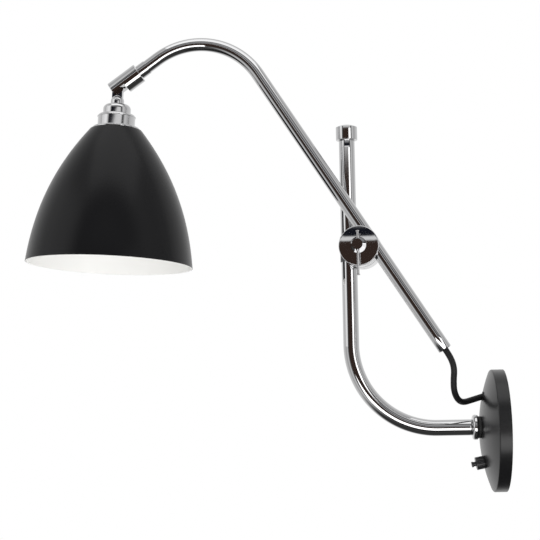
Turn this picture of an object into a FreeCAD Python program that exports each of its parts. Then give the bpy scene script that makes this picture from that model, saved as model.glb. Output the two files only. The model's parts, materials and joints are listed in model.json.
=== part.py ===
import FreeCAD, Part
import math
import os

from FreeCAD import Vector

# Adjustable wall lamp: a domed wall plate carries a bent upright tube, a two-block
# clamp on the upright grips a long crooked arm, and the arm's end carries a tilting
# lampholder and a bell shade. Millimetres. The wall is the plane X = 0, the room lies
# towards -X, +Z is up, and the origin is the middle of the wall plate's back.

# ---- fits ----------------------------------------------------------------------------
runningFit = 0.05      # radial room round a piece that turns or slides in its bore
pinFit = 0.07          # radial room of the tongue's hole on its pin
faceGap = 0.3          # room between flat faces that move past each other
seatGap = 0.1          # room between faces of pieces that are bolted together

# ---- wall plate and what lies in it --------------------------------------------------
plateRadius = 57.0
plateRimDepth = 11.4
plateDomeRise = 11.2
plateWall = 1.6
plateEdgeRound = 1.6
backDiscRadius = 54.0
backDiscThickness = 2.0
wallSlotSpacing = 84.0
wallSlotLength = 12.0
wallSlotRadius = 2.5
cableEntryRadius = 7.0
cableEntryZ = -14.0
bridgeHalfWidth = 11.0
bridgeHalfSpan = 22.0
bridgeFootLength = 11.0
bridgeSheet = 2.5
bridgeHeight = 12.0
footScrewRadius = 2.0
footScrewHeadRadius = 3.8
footScrewHeadHeight = 2.2
stubZ = 3.4
nippleRadius = 5.0
nippleBore = 3.5
nippleTubeDepth = 16.0
lockWasherRadius = 9.5
lockWasherThickness = 1.2
lockNutAcrossFlats = 17.0
lockNutHeight = 5.0
nippleTail = 1.2
spacerRadius = 8.0
gasketRadius = 10.2
gasketThickness = 1.6
collarRadius = 11.8
collarLength = 5.6
collarRound = 2.4

# ---- terminal block, flex and switch -------------------------------------------------
flexRadius = 2.9
flexEntryZ = 32.0
cordFirstRun = 9.8
grommetWall = 1.5
grommetLipHeight = 1.1
grommetLipThickness = 0.8
blockHeight = 14.0
blockHalfWidth = 12.0
blockDepth = 10.0
terminalPitch = 8.0
terminalScrewRadius = 1.9
terminalScrewHeight = 1.2
switchZ = -29.0
switchNutRadius = 6.0
switchNutLength = 7.6
switchNutRibs = 12
switchRibDepth = 0.8
switchNeckRadius = 3.9
switchBodyRadius = 6.4
switchBodyLength = 12.0
plungerRadius = 2.15
plungerTipRadius = 2.6
plungerTipLength = 1.6
plungerReach = 4.2
plungerTravel = 2.2
plungerTail = 7.0
leadRadius = 1.1
leadSpread = 16.0

# ---- upright -------------------------------------------------------------------------
uprightRadius = 7.5
uprightWall = 1.5
uprightX = -141.0
bendRadius = 79.0
uprightTopZ = 289.0
capRadius = 10.2
capHeight = 15.0
capSkirt = 11.0
capDomeRise = 2.6
capEdgeRound = 0.8

# ---- clamp: two cross-bored blocks on one screw ---------------------------------------
armSwivel = 8.0        # degrees that the arm's plane is turned from the wall's normal
clampZ = 173.2
clampOffset = 12.0     # from the screw's axis to the axis of each tube
blockRadius = 18.8
blockEdgeRound = 0.8
linerWall = 0.75
linerHalfLength = 12.0
rearBackWall = 2.4
rearFrontWall = 2.9
washerThickness = 0.5
washerRadius = 17.0
frontBackWall = 2.7
frontFrontWall = 2.5
frontCrown = 1.2
blockSlit = 1.0
slitPastScrew = 5.0
screwRadius = 3.0
screwTipInset = 2.0
headBaseRadius = 7.8
headBaseLength = 2.4
headFrontRadius = 5.0
headLength = 12.0
barRadius = 1.1
barFromFace = 7.0
barAbove = 13.2
barBelow = 28.6
barEndRadius = 1.6
barEndLength = 1.4

# ---- arm -----------------------------------------------------------------------------
armRadius = 6.35
armWall = 1.2
armRise = 57.45        # degrees above the horizontal of the straight stretch
armLowerLength = 123.7
armUpperLength = 192.6
crookRadius = 69.6
armEndFall = 34.2      # degrees below the horizontal of the short end stretch
armEndLength = 12.5
bushLength = 8.0
bushInset = 0.6

# ---- knuckle -------------------------------------------------------------------------
collarRingRadius = 6.95
collarRingLength = 9.2
collarFace = 1.0
spigotRadius = 5.0
spigotLength = 11.0
sleeveRadius = 9.7
pivotFromCollar = 26.1
sleevePastPivot = 5.5
pivotPinRadius = 1.75
tongueThickness = 5.0
tongueRadius = 6.0
tongueHalfWidth = 5.0
notchBelowPivot = 3.0
notchReach = 8.3
headSwivel = 1.7       # degrees that sleeve and head are turned on the arm's end

# ---- lamp head, in distances below the pivot along the shade's axis --------------------
shadeTilt = 2.95       # degrees that the shade's mouth swings out from straight down
stemRadius = 6.5
stemDomeDepth = 13.0
stemThreadRadius = 4.5
stemThreadLength = 6.0
holderCapDepth = 15.8
holderCapRadius = 13.4
holderCapHeight = 10.0
holderCapRound = 5.0
holderRadius = 18.0
holderHeight = 12.6
holderShoulder = 2.4
holderBead = 0.6
holderWall = 1.4
flangeRadius = 22.4
flangeThickness = 2.4
skirtLength = 14.0
skirtWall = 1.1
shadeWall = 1.1
shadeTopRadius = 24.7
shadeMouthRadius = 79.7
shadeHeight = 131.6
shoulderOut = 28.7     # how far the profile's tangent reaches out and down at the top
shoulderDown = 35.5
skirtIn = 6.3          # and in and up at the mouth
skirtUp = 56.0
shadeRingRadius = 24.0
shadeRingHeight = 6.0
socketRadius = 15.6
socketLength = 34.5
socketRoof = 6.0
shellWall = 0.7
shellRadius = 14.2
shellLength = 22.0
contactRadius = 4.5
contactHeight = 1.4
bulbBaseRadius = 13.1
bulbBaseLength = 25.0
bulbCollarRadius = 11.4
bulbRadius = 22.5
bulbLength = 78.0
bulbNeckInBase = 8.0
bulbGlassWall = 0.9

os.makedirs("parts", exist_ok=True)

AX = Vector(1, 0, 0)
AY = Vector(0, 1, 0)
AZ = Vector(0, 0, 1)
ORIGIN = Vector(0, 0, 0)


# ---- shape helpers -------------------------------------------------------------------
def save(name, shape):
    shape = shape.removeSplitter()
    solids = len(shape.Solids)
    print(f"{name}: {solids} solid(s), {shape.Volume:.0f} mm3, valid {shape.isValid()}")
    shape.exportStep(f"parts/{name}.step")
    return shape


def rod(base, direction, radius, length):
    return Part.makeCylinder(radius, length, base, direction)


def tube(base, direction, outer, inner, length):
    return rod(base, direction, outer, length).cut(rod(base, direction, inner, length))


def turned(edges):
    """A closed outline of edges in the XZ plane, turned about the Z axis."""
    outline = Part.Wire(Part.__sortEdges__(edges))
    solid = Part.Face(outline).revolve(ORIGIN, AZ, 360)
    return Part.Solid(solid) if solid.ShapeType != "Solid" else solid


def line(a, b):
    return Part.LineSegment(Vector(a[0], 0, a[1]), Vector(b[0], 0, b[1])).toShape()


def centred_box(x0, x1, y0, y1, z0, z1):
    return Part.makeBox(x1 - x0, y1 - y0, z1 - z0, Vector(x0, y0, z0))


def disc_edges_rounded(solid, radius, amount):
    """Rounds the circular edges of that radius."""
    rings = [e for e in solid.Edges if not e.Degenerated and e.isClosed()]
    chosen = [e for e in rings if isinstance(e.Curve, Part.Circle) and abs(e.Curve.Radius - radius) < 1e-6]
    return solid.makeFillet(amount, chosen)


def swept(path, radius):
    """A round bar of that radius along a tangent path, which starts and ends straight."""
    first = path.OrderedEdges[0]
    start = first.valueAt(first.FirstParameter)
    heading = first.tangentAt(first.FirstParameter)
    ring = Part.Wire(Part.makeCircle(radius, start, heading))
    return path.makePipeShell([ring], True, False)


def rounded_route(name, points, diameter):
    """Straight runs joined by tangent arcs, each as large as its two runs allow."""
    edges = []
    last = points[0]
    tightest = math.inf
    for before, corner, after in zip(points, points[1:], points[2:]):
        back = (before - corner).normalize()
        ahead = (after - corner).normalize()
        turn = math.pi - back.getAngle(ahead)
        shorter = min((before - corner).Length, (after - corner).Length)
        reach = 0.45 * shorter
        radius = reach / math.tan(turn / 2)
        tightest = min(tightest, radius)
        start = corner + back * reach
        end = corner + ahead * reach
        bisector = (back + ahead).normalize()
        middle = corner + bisector * (radius / math.cos(turn / 2) - radius)
        edges.append(Part.LineSegment(last, start).toShape())
        edges.append(Part.Arc(start, middle, end).toShape())
        last = end
    edges.append(Part.LineSegment(last, points[-1]).toShape())
    path = Part.Wire(edges)
    print(f"{name}: tightest radius {tightest:.1f}, {tightest / diameter:.1f} diameters")
    return path


def route_solid(name, points, radius):
    path = rounded_route(name, points, 2 * radius)
    solid = swept(path, radius)
    expected = math.pi * radius * radius * path.Length
    print(f"{name}: length {path.Length:.1f}, volume is {solid.Volume / expected:.4f} of section times length")
    return solid


def on_upright(shape):
    """From the arm's own frame, whose X runs along the arm's plane, to the row's."""
    shape = shape.copy()
    shape.rotate(ORIGIN, AZ, -armSwivel)
    shape.translate(Vector(uprightX, 0, 0))
    return shape


# ---- places worked out from the sizes --------------------------------------------------
domeSphere = (plateRadius**2 + plateDomeRise**2) / (2 * plateDomeRise)
domeCentreX = -(plateRimDepth + plateDomeRise) + domeSphere


def dome_x(distance, inset=0.0):
    """X of the dome's surface at a distance from the plate's axis, or of its inside."""
    return domeCentreX - math.sqrt((domeSphere - inset) ** 2 - distance**2)


bridgeFrontX = -(backDiscThickness + bridgeHeight)
bridgeBackX = bridgeFrontX + bridgeSheet
domeInsideX = dome_x(stubZ, plateWall)
domeOutsideX = dome_x(stubZ)
gasketFrontX = domeOutsideX - gasketThickness
collarFrontX = gasketFrontX - collarLength
frontPlane = -(uprightRadius + runningFit + linerWall + runningFit + rearFrontWall)
rearPlane = uprightRadius + 2 * runningFit + linerWall + rearBackWall
frontBlockBack = frontPlane - washerThickness - faceGap
armPlane = frontBlockBack - frontBackWall - armRadius - runningFit
frontBlockFront = armPlane - armRadius - runningFit - frontFrontWall
headBack = frontBlockFront - faceGap
screwAxis = Vector(clampOffset, 0, clampZ)

riseAngle = math.radians(armRise)
fallAngle = math.radians(armEndFall)
armUp = Vector(-math.cos(riseAngle), 0, math.sin(riseAngle))
armNormal = Vector(math.sin(riseAngle), 0, math.cos(riseAngle))
endDown = Vector(-math.cos(fallAngle), 0, -math.sin(fallAngle))
endNormal = Vector(-math.sin(fallAngle), 0, math.cos(fallAngle))
armFoot = screwAxis + armNormal * clampOffset + AY * armPlane
armMouth = armFoot - armUp * armLowerLength
crookStart = armFoot + armUp * armUpperLength
crookCentre = crookStart - armNormal * crookRadius
crookEnd = crookCentre + endNormal * crookRadius
crookMiddle = crookCentre + (armNormal + endNormal).normalize() * crookRadius
collarStart = crookEnd + endDown * armEndLength
pivot = collarStart + endDown * (collarRingLength + pivotFromCollar)

holderDepth = holderCapDepth + holderCapHeight
socketDepth = holderDepth + holderWall
flangeDepth = holderDepth + holderHeight
shadeTopDepth = flangeDepth + flangeThickness
mouthDepth = shadeTopDepth + shadeHeight


# ---- wall plate and its inside ---------------------------------------------------------
def wall_plate():
    inner = plateRadius - plateWall
    innerSphere = domeSphere - plateWall
    outerApex = -(plateRimDepth + plateDomeRise)
    innerApex = outerApex + plateWall
    innerRimX = dome_x(inner, plateWall)
    half = plateRadius / 2
    outer_arc = Part.Arc(
        Vector(0, 0, -outerApex), Vector(half, 0, -dome_x(half)), Vector(plateRadius, 0, plateRimDepth)
    ).toShape()
    inner_arc = Part.Arc(
        Vector(0, 0, -innerApex),
        Vector(half, 0, innerSphere_z(half, innerSphere)),
        Vector(inner, 0, -innerRimX),
    ).toShape()
    outline = [
        outer_arc,
        line((plateRadius, plateRimDepth), (plateRadius, 0)),
        line((plateRadius, 0), (inner, 0)),
        line((inner, 0), (inner, -innerRimX)),
        inner_arc,
        line((0, -innerApex), (0, -outerApex)),
    ]
    shell = turned(outline)
    rim = [
        e
        for e in shell.Edges
        if e.isClosed() and abs(e.BoundBox.ZMax - plateRimDepth) < 1e-6 and e.BoundBox.XMax > plateRadius - 1e-6
    ]
    shell = shell.makeFillet(plateEdgeRound, rim)
    shell.rotate(ORIGIN, AY, -90)
    shell = shell.cut(rod(Vector(-40, 0, stubZ), AX, nippleRadius + seatGap, 40))
    shell = shell.cut(rod(Vector(-40, 0, flexEntryZ), AX, flexRadius + grommetWall, 40))
    return shell.cut(switch_frame(rod(Vector(0, 0, -20), AZ, switchNeckRadius + seatGap, 40)))


def innerSphere_z(distance, sphere):
    return math.sqrt(sphere**2 - distance**2) - domeCentreX


def back_disc():
    disc = rod(Vector(-backDiscThickness, 0, 0), AX, backDiscRadius, backDiscThickness)
    disc = disc.cut(rod(Vector(-backDiscThickness, 0, cableEntryZ), AX, cableEntryRadius, backDiscThickness))
    for side in (-1, 1):
        y = side * wallSlotSpacing / 2
        disc = disc.cut(slot_cutter(y))
        foot = Vector(-backDiscThickness, side * foot_y(), stubZ)
        disc = disc.cut(rod(foot, AX, footScrewRadius, backDiscThickness))
    return disc


def slot_cutter(y):
    """A round-ended slot along Y through the back disc."""
    half = wallSlotLength / 2 - wallSlotRadius
    base = -backDiscThickness
    cutter = centred_box(base, 0, y - half, y + half, -wallSlotRadius, wallSlotRadius)
    for end in (-1, 1):
        cutter = cutter.fuse(rod(Vector(base, y + end * half, 0), AX, wallSlotRadius, backDiscThickness))
    return cutter


def foot_y():
    return bridgeHalfSpan + bridgeFootLength / 2 - bridgeSheet / 2


def stub_bridge():
    low = stubZ - bridgeHalfWidth
    high = stubZ + bridgeHalfWidth
    top = centred_box(bridgeFrontX, bridgeBackX, -bridgeHalfSpan, bridgeHalfSpan, low, high)
    for side in (-1, 1):
        a, b = sorted((side * (bridgeHalfSpan - bridgeSheet), side * bridgeHalfSpan))
        top = top.fuse(centred_box(bridgeFrontX, -backDiscThickness, a, b, low, high))
        a, b = sorted((side * (bridgeHalfSpan - bridgeSheet), side * (bridgeHalfSpan + bridgeFootLength)))
        foot = centred_box(-backDiscThickness - bridgeSheet, -backDiscThickness, a, b, low, high)
        hole = Vector(-backDiscThickness - bridgeSheet, side * foot_y(), stubZ)
        top = top.fuse(foot.cut(rod(hole, AX, footScrewRadius, bridgeSheet)))
    return top.cut(rod(Vector(bridgeFrontX, 0, stubZ), AX, nippleRadius + seatGap, bridgeSheet))


def foot_screws():
    pieces = []
    seat = -backDiscThickness - bridgeSheet
    for side in (-1, 1):
        at = Vector(seat, side * foot_y(), stubZ)
        shank = rod(at, AX, footScrewRadius - runningFit, bridgeSheet + backDiscThickness * 0.9)
        head = rod(at - AX * footScrewHeadHeight, AX, footScrewHeadRadius, footScrewHeadHeight)
        drive = centred_box(
            at.x - footScrewHeadHeight,
            at.x - footScrewHeadHeight / 2,
            at.y - footScrewHeadRadius,
            at.y + footScrewHeadRadius,
            at.z - footScrewHeadRadius / 8,
            at.z + footScrewHeadRadius / 8,
        )
        pieces.append(head.fuse(shank).cut(drive))
    return Part.makeCompound(pieces)


def hexagon(at, across, height):
    corner = across / math.sqrt(3)
    ring = [
        at + AY * (corner * math.cos(math.radians(60 * k))) + AZ * (corner * math.sin(math.radians(60 * k)))
        for k in range(7)
    ]
    return Part.Face(Part.makePolygon(ring)).extrude(AX * height)


def nipple_end_x():
    return bridgeBackX + lockWasherThickness + lockNutHeight + nippleTail


def plate_nipple():
    start = collarFrontX - nippleTubeDepth
    return tube(Vector(start, 0, stubZ), AX, nippleRadius, nippleBore, nipple_end_x() - start)


def lock_washer():
    return tube(Vector(bridgeBackX, 0, stubZ), AX, lockWasherRadius, nippleRadius + seatGap, lockWasherThickness)


def lock_nut():
    at = Vector(bridgeBackX + lockWasherThickness, 0, stubZ)
    nut = hexagon(at, lockNutAcrossFlats, lockNutHeight)
    return nut.cut(rod(at, AX, nippleRadius + runningFit, lockNutHeight))


def spacer_sleeve():
    # its front end follows the dome's inside, on which it bears
    blank = tube(
        Vector(domeInsideX - plateWall, 0, stubZ),
        AX,
        spacerRadius,
        nippleRadius + seatGap,
        bridgeFrontX - domeInsideX + plateWall,
    )
    ball = Part.makeSphere(domeSphere - plateWall, Vector(domeCentreX, 0, 0))
    return blank.common(ball)


def collar_gasket():
    blank = tube(
        Vector(gasketFrontX, 0, stubZ), AX, gasketRadius, nippleRadius + seatGap, gasketThickness * 2
    )
    return blank.cut(Part.makeSphere(domeSphere, Vector(domeCentreX, 0, 0)))


def stub_collar():
    ring = rod(Vector(collarFrontX, 0, stubZ), AX, collarRadius, collarLength)
    ring = disc_edges_rounded(ring, collarRadius, collarRound)
    return ring.cut(rod(Vector(collarFrontX, 0, stubZ), AX, nippleRadius + seatGap, collarLength))


# ---- flex, terminal block and switch ---------------------------------------------------
def grommet_out_x():
    return dome_x(flexEntryZ)


def plate_grommet():
    outside = dome_x(flexEntryZ + flexRadius + grommetWall) - plateDomeRise / 10
    inside = dome_x(flexEntryZ, plateWall) + grommetLipThickness
    radius = flexRadius + grommetWall
    body = rod(Vector(grommet_out_x(), 0, flexEntryZ), AX, radius, inside - grommet_out_x())
    lipStart = dome_x(flexEntryZ - radius - grommetLipHeight, plateWall)
    lip = rod(Vector(lipStart, 0, flexEntryZ), AX, radius + grommetLipHeight, inside - lipStart)
    lip = lip.common(Part.makeSphere(domeSphere - plateWall, Vector(domeCentreX, 0, 0)))
    rim = rod(Vector(outside, 0, flexEntryZ), AX, radius, grommet_out_x() - outside + plateWall)
    return body.fuse(lip).fuse(rim).cut(rod(Vector(outside, 0, flexEntryZ), AX, flexRadius, plateRimDepth))


def block_front_x():
    return -(backDiscThickness + blockDepth)


def terminal_block():
    bottom = flexEntryZ - blockHeight / 2
    block = centred_box(
        block_front_x(), -backDiscThickness, -blockHalfWidth, blockHalfWidth, bottom, bottom + blockHeight
    )
    for k in (-1, 0, 1):
        well = Vector(block_front_x(), k * terminalPitch, screw_row_z())
        block = block.cut(rod(well, AX, terminalScrewRadius + runningFit, terminalScrewHeight * 2))
    return block


def screw_row_z():
    """The screws stand beside the flex's end, clear of it."""
    return flexEntryZ - flexRadius - terminalScrewRadius


def terminal_screws():
    pieces = []
    for k in (-1, 0, 1):
        at = Vector(block_front_x() + terminalScrewHeight, k * terminalPitch, screw_row_z())
        screw = rod(at, AX, terminalScrewRadius, terminalScrewHeight)
        drive = centred_box(
            at.x,
            at.x + terminalScrewHeight / 2,
            at.y - terminalScrewRadius,
            at.y + terminalScrewRadius,
            at.z - terminalScrewRadius / 6,
            at.z + terminalScrewRadius / 6,
        )
        pieces.append(screw.cut(drive))
    return Part.makeCompound(pieces)


def plate_flex():
    """The flex's end, from the terminal block out to the dome's surface."""
    start = grommet_out_x()
    return rod(Vector(start, 0, flexEntryZ), AX, flexRadius, block_front_x() - start)


def switch_frame(shape):
    """From a frame whose +Z leaves the dome square, at the switch, to the row's."""
    shape = shape.copy()
    lean = math.degrees(math.asin(switchZ / domeSphere))
    shape.rotate(ORIGIN, AY, -90 + lean)
    shape.translate(Vector(dome_x(switchZ), 0, switchZ))
    return shape


def switch_nut():
    nut = rod(ORIGIN, AZ, switchNutRadius, switchNutLength)
    for k in range(switchNutRibs):
        angle = 2 * math.pi * k / switchNutRibs
        at = Vector(switchNutRadius * math.cos(angle), switchNutRadius * math.sin(angle), 0)
        nut = nut.cut(rod(at, AZ, switchRibDepth, switchNutLength * 0.8))
    flat = Part.makeSphere(domeSphere, Vector(0, 0, -domeSphere))
    nut = nut.cut(flat)
    return switch_frame(nut.cut(rod(ORIGIN, AZ, switchNeckRadius + runningFit, switchNutLength)))


def switch_body():
    wall = plateWall
    neck = rod(Vector(0, 0, -2 * wall), AZ, switchNeckRadius, 2 * wall + switchNutLength)
    body = rod(Vector(0, 0, -wall - switchBodyLength), AZ, switchBodyRadius, switchBodyLength)
    body = body.common(Part.makeSphere(domeSphere - wall, Vector(0, 0, -domeSphere)))
    bore = rod(
        Vector(0, 0, switchNutLength - plungerTail - plungerTravel - faceGap),
        AZ,
        plungerRadius + runningFit,
        plungerTail + plungerTravel + faceGap,
    )
    return switch_frame(neck.fuse(body).cut(bore))


def switch_plunger():
    foot = switchNutLength - plungerTail
    stem = rod(Vector(0, 0, foot), AZ, plungerRadius, plungerTail + plungerReach)
    top = switchNutLength + plungerReach
    tip = rod(Vector(0, 0, top - plungerTipLength), AZ, plungerTipRadius, plungerTipLength)
    tip = disc_edges_rounded(tip, plungerTipRadius, plungerTipLength / 4)
    return switch_frame(stem.fuse(tip))


def switch_leads():
    pieces = []
    for side in (-1, 1):
        start = Vector(-8.0, side * (switchBodyRadius - 0.4), switchZ + 2)
        end = Vector(-7.0, side * terminalPitch / 2, flexEntryZ - blockHeight / 2)
        points = [
            start,
            Vector(-7.5, side * leadSpread * 0.85, switchZ + 4),
            Vector(-7.0, side * (leadSpread + 1), switchZ + 19),
            Vector(-7.0, side * leadSpread, switchZ + 35),
            Vector(-7.0, side * (terminalPitch / 2 + 3), switchZ + 46),
            end,
        ]
        pieces.append(route_solid("switch_leads", points, leadRadius))
    return Part.makeCompound(pieces)


# ---- upright ---------------------------------------------------------------------------
def upright_path():
    z = stubZ
    bendStartX = uprightX + bendRadius
    middle = Vector(bendStartX, 0, z + bendRadius) - (AX + AZ).normalize() * bendRadius
    start = Vector(collarFrontX, 0, z)
    a = Vector(bendStartX, 0, z)
    b = Vector(uprightX, 0, z + bendRadius)
    top = Vector(uprightX, 0, uprightTopZ)
    return Part.Wire(
        [
            Part.LineSegment(start, a).toShape(),
            Part.Arc(a, middle, b).toShape(),
            Part.LineSegment(b, top).toShape(),
        ]
    )


def upright_tube():
    path = upright_path()
    body = swept(path, uprightRadius).cut(swept(path, uprightRadius - uprightWall))
    # a plug in the tube's end takes the nipple's thread
    plug = rod(Vector(collarFrontX, 0, stubZ), -AX, uprightRadius - uprightWall / 2, nippleTubeDepth)
    return body.fuse(plug).cut(rod(Vector(collarFrontX, 0, stubZ), -AX, nippleRadius, nippleTubeDepth))


def upright_cap():
    ballRadius = (capRadius**2 + capDomeRise**2) / (2 * capDomeRise)
    cap = rod(ORIGIN, AZ, capRadius, capHeight)
    cap = cap.common(Part.makeSphere(ballRadius, Vector(0, 0, capHeight - ballRadius)))
    cap = disc_edges_rounded(cap, capRadius, capEdgeRound)
    cap = cap.cut(rod(ORIGIN, AZ, uprightRadius, capSkirt))
    cap.translate(Vector(uprightX, 0, uprightTopZ - capSkirt))
    return cap


# ---- clamp -----------------------------------------------------------------------------
def clamp_liner():
    base = Vector(0, 0, clampZ - linerHalfLength)
    inner = uprightRadius + runningFit
    return on_upright(tube(base, AZ, inner + linerWall, inner, 2 * linerHalfLength))


def rear_blank():
    at = Vector(screwAxis.x, rearPlane, screwAxis.z)
    blank = rod(at, -AY, blockRadius, rearPlane - frontPlane)
    return disc_edges_rounded(blank, blockRadius, blockEdgeRound)


def block_slit(direction, y):
    """A saw cut in the block's middle, from the rim past the tube and the screw."""
    along = centred_box(-slitPastScrew, blockRadius * 1.2, -blockSlit / 2, blockSlit / 2, -blockRadius, blockRadius)
    along.rotate(ORIGIN, AY, -math.degrees(math.atan2(direction.z, direction.x)))
    along.translate(Vector(screwAxis.x, y, screwAxis.z))
    return along


def rear_block():
    bore = uprightRadius + 2 * runningFit + linerWall
    block = rear_blank()
    block = block.cut(rod(Vector(0, 0, clampZ - 2 * blockRadius), AZ, bore, 4 * blockRadius))
    block = block.cut(rod(Vector(screwAxis.x, frontPlane, clampZ), AY, screwRadius + runningFit, 40))
    return on_upright(block.cut(block_slit(-AX, 0)))


def front_blank():
    """The front block's disc, whose front face is slightly domed."""
    at = Vector(screwAxis.x, frontBlockBack, screwAxis.z)
    blank = rod(at, -AY, blockRadius, frontBlockBack - frontBlockFront)
    ballRadius = (blockRadius**2 + frontCrown**2) / (2 * frontCrown)
    ball = Part.makeSphere(ballRadius, Vector(at.x, frontBlockFront + ballRadius, at.z))
    return disc_edges_rounded(blank.common(ball), blockRadius, blockEdgeRound)


def front_block():
    block = front_blank()
    start = armFoot - armUp * (2 * blockRadius)
    block = block.cut(rod(start, armUp, armRadius + runningFit, 4 * blockRadius))
    block = block.cut(
        rod(Vector(screwAxis.x, frontBlockFront, clampZ), AY, screwRadius + runningFit, 40)
    )
    return on_upright(block.cut(block_slit(armNormal, armPlane)))


def friction_washer():
    at = Vector(screwAxis.x, frontPlane, clampZ)
    return on_upright(tube(at, -AY, washerRadius, screwRadius + runningFit, washerThickness))


def clamp_screw():
    at = Vector(screwAxis.x, headBack, clampZ)
    tip = rearPlane - screwTipInset
    shank = rod(at, AY, screwRadius, tip - headBack)
    base = rod(at, -AY, headBaseRadius, headBaseLength)
    cone = Part.makeCone(
        headBaseRadius * 0.94, headFrontRadius, headLength - headBaseLength, at - AY * headBaseLength, -AY
    )
    head = shank.fuse(base).fuse(cone)
    through = Vector(screwAxis.x, bar_plane(), clampZ - 2 * headBaseRadius)
    return on_upright(head.cut(rod(through, AZ, barRadius + runningFit, 4 * headBaseRadius)))


def bar_plane():
    return headBack - barFromFace


def tommy_bar():
    bottom = Vector(screwAxis.x, bar_plane(), clampZ - barBelow)
    return on_upright(rod(bottom, AZ, barRadius, barAbove + barBelow))


def bar_ends():
    pieces = []
    for z in (clampZ - barBelow, clampZ + barAbove - barEndLength):
        at = Vector(screwAxis.x, bar_plane(), z)
        pieces.append(on_upright(tube(at, AZ, barEndRadius, barRadius, barEndLength)))
    return Part.makeCompound(pieces)


# ---- arm and knuckle ---------------------------------------------------------------------
def arm_path(extra):
    end = collarStart + endDown * extra
    return Part.Wire(
        [
            Part.LineSegment(armMouth, crookStart).toShape(),
            Part.Arc(crookStart, crookMiddle, crookEnd).toShape(),
            Part.LineSegment(crookEnd, end).toShape(),
        ]
    )


def arm_tube():
    path = arm_path(collarRingLength - collarFace)
    return on_upright(swept(path, armRadius).cut(swept(path, armRadius - armWall)))


def arm_flex():
    path = arm_path(collarRingLength - collarFace)
    return on_upright(swept(path, flexRadius))


def arm_bush():
    at = armMouth + armUp * bushInset
    return on_upright(tube(at, armUp, armRadius - armWall, flexRadius, bushLength))


def knuckle_collar():
    ring = rod(collarStart, endDown, collarRingRadius, collarRingLength)
    face = collarStart + endDown * collarRingLength
    ring = ring.fuse(rod(face, endDown, spigotRadius, spigotLength))
    ring = ring.cut(rod(collarStart, endDown, armRadius, collarRingLength - collarFace))
    return on_upright(ring.cut(rod(collarStart, endDown, flexRadius, collarRingLength + spigotLength)))


def knuckle_sleeve():
    start = collarStart + endDown * (collarRingLength + faceGap)
    length = pivotFromCollar - faceGap + sleevePastPivot
    sleeve = rod(start, endDown, sleeveRadius, length)
    sleeve = disc_edges_rounded(sleeve, sleeveRadius, 0.5)
    sleeve = sleeve.cut(rod(start, endDown, spigotRadius + runningFit, spigotLength))
    sleeve = sleeve.cut(rod(start, endDown, flexRadius, pivotFromCollar))
    room = tongueRadius + faceGap * 2
    half = tongueThickness / 2 + faceGap
    slot = centred_box(-room, sleevePastPivot * 2, -half, half, -sleeveRadius * 2, room)
    notch = centred_box(
        -notchReach, sleevePastPivot * 2, -sleeveRadius, sleeveRadius, -sleeveRadius * 2, -notchBelowPivot
    )
    cutter = slot.fuse(notch)
    cutter.rotate(ORIGIN, AZ, 180)
    cutter.rotate(ORIGIN, AY, -armEndFall)
    cutter.translate(pivot)
    sleeve = sleeve.cut(cutter)
    return on_arm_end(sleeve.cut(pin_rod(pivotPinRadius)))


def on_arm_end(shape):
    """Turned with the head about the arm's end, and then in the row's frame."""
    shape = shape.copy()
    shape.rotate(pivot, endDown, headSwivel)
    return on_upright(shape)


def pin_rod(radius):
    reach = math.sqrt(sleeveRadius**2 - radius**2)
    return rod(pivot - AY * reach, AY, radius, 2 * reach)


def pivot_pin():
    return on_arm_end(pin_rod(pivotPinRadius))


# ---- lamp head ---------------------------------------------------------------------------
def lamp_frame(shape):
    """From the shade's own frame, pivot at the origin and mouth towards -Z, to the row's."""
    shape = shape.copy()
    shape.rotate(ORIGIN, AY, shadeTilt)
    shape.translate(pivot)
    return on_arm_end(shape)


def pivot_stem():
    half = tongueThickness / 2
    tongue = rod(Vector(0, -half, 0), AY, tongueRadius, tongueThickness)
    neck = centred_box(-tongueHalfWidth, tongueHalfWidth, -half, half, -stemDomeDepth, 0)
    dome = Part.makeSphere(stemRadius, Vector(0, 0, -stemDomeDepth))
    barrel = rod(Vector(0, 0, -holderCapDepth), AZ, stemRadius, holderCapDepth - stemDomeDepth)
    lower = Part.makeBox(
        4 * stemRadius, 4 * stemRadius, 4 * stemRadius,
        Vector(-2 * stemRadius, -2 * stemRadius, -holderCapDepth - 4 * stemRadius),
    )
    dome = dome.cut(lower)
    thread = rod(Vector(0, 0, -holderCapDepth - stemThreadLength), AZ, stemThreadRadius, stemThreadLength)
    stem = tongue.fuse(neck).fuse(dome).fuse(barrel).fuse(thread)
    hole = rod(Vector(0, -stemRadius, 0), AY, pivotPinRadius + pinFit, 2 * stemRadius)
    bore = rod(Vector(0, 0, -holderCapDepth - stemThreadLength), AZ, stemThreadRadius / 2, stemThreadLength + 4)
    return lamp_frame(stem.cut(hole).cut(bore))


def holder_cap():
    cup = rod(Vector(0, 0, -holderDepth), AZ, holderCapRadius, holderCapHeight)
    top = [e for e in cup.Edges if e.isClosed() and abs(e.BoundBox.ZMin + holderCapDepth) < 1e-6]
    cup = cup.makeFillet(holderCapRound, top)
    hollow = rod(Vector(0, 0, -holderDepth), AZ, holderCapRadius - holderWall, holderCapHeight - holderWall * 2)
    hollowTop = [
        e for e in hollow.Edges if e.isClosed() and e.BoundBox.ZMin > -holderDepth + holderWall
    ]
    hollow = hollow.makeFillet(holderCapRound - holderWall, hollowTop)
    cup = cup.cut(hollow)
    return lamp_frame(cup.cut(rod(Vector(0, 0, -holderDepth), AZ, stemThreadRadius, holderCapHeight)))


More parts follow.
